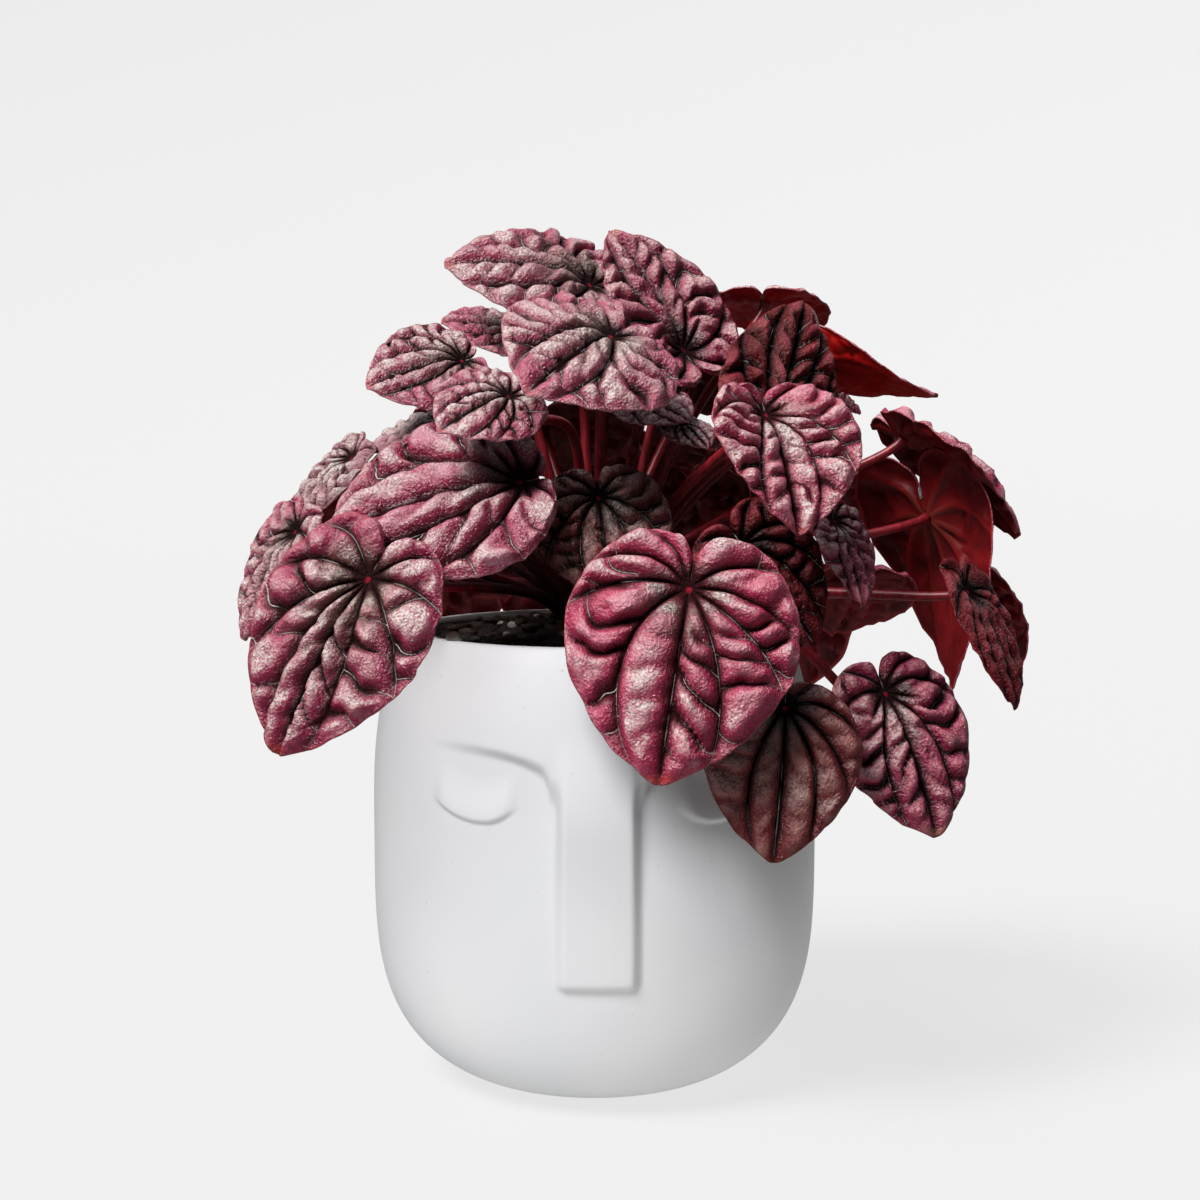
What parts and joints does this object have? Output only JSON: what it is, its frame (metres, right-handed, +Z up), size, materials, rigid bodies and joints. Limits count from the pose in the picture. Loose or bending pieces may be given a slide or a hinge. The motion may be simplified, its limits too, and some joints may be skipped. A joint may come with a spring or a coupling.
{
  "type": "potted ripple peperomia",
  "caption": "Ripple peperomia with dark red, deeply furrowed heart-shaped leaves, growing in a round white ceramic pot with a calm face in relief.",
  "frame": {"origin": "centre of the pot's flat base", "axes": "+Z up, the pot's face looks to -Y, +X is to the right of somebody looking at the face"},
  "size_m": [0.1971, 0.1544, 0.2121],
  "materials": {
    "pot_ceramic": "matte bluish-white bisque with fine specks",
    "potting_soil": "damp dark potting mix with white perlite grains",
    "petiole": "smooth satin red stem",
    "leaf_blade": "semi-gloss dark burgundy, puckered between the veins, smooth deep red below"
  },
  "bodies": {
    "root": {"pot": "pot_ceramic", "soil": "potting_soil", "crown_and_petioles": "petiole", "leaf_behind_front": "leaf_blade", "leaf_centre_left": "leaf_blade", "leaf_crown_front": "leaf_blade", "leaf_crown_left": "leaf_blade", "leaf_crown_top": "leaf_blade", "leaf_front": "leaf_blade", "leaf_front_left": "leaf_blade", "leaf_heart_dark": "leaf_blade", "leaf_left_far": "leaf_blade", "leaf_left_long": "leaf_blade", "leaf_left_low": "leaf_blade", "leaf_left_outer": "leaf_blade", "leaf_left_shaded": "leaf_blade", "leaf_left_upper": "leaf_blade", "leaf_left_wedge": "leaf_blade", "leaf_low_centre": "leaf_blade", "leaf_low_right": "leaf_blade", "leaf_rear_inner": "leaf_blade", "leaf_rear_inner_right": "leaf_blade", "leaf_rear_left": "leaf_blade", "leaf_rear_low": "leaf_blade", "leaf_rear_low_left": "leaf_blade", "leaf_rear_low_right": "leaf_blade", "leaf_rear_mid": "leaf_blade", "leaf_rear_mid_left": "leaf_blade", "leaf_rear_right": "leaf_blade", "leaf_rear_top": "leaf_blade", "leaf_rear_top_left": "leaf_blade", "leaf_rear_top_right": "leaf_blade", "leaf_right_arch": "leaf_blade", "leaf_right_behind": "leaf_blade", "leaf_right_crest": "leaf_blade", "leaf_right_front": "leaf_blade", "leaf_right_hanging": "leaf_blade", "leaf_right_inner": "leaf_blade", "leaf_right_long": "leaf_blade", "leaf_right_low_under": "leaf_blade", "leaf_right_lower": "leaf_blade", "leaf_right_tip": "leaf_blade", "leaf_right_under": "leaf_blade", "leaf_young": "leaf_blade", "leaf_youngest": "leaf_blade"}
  },
  "joints": []
}
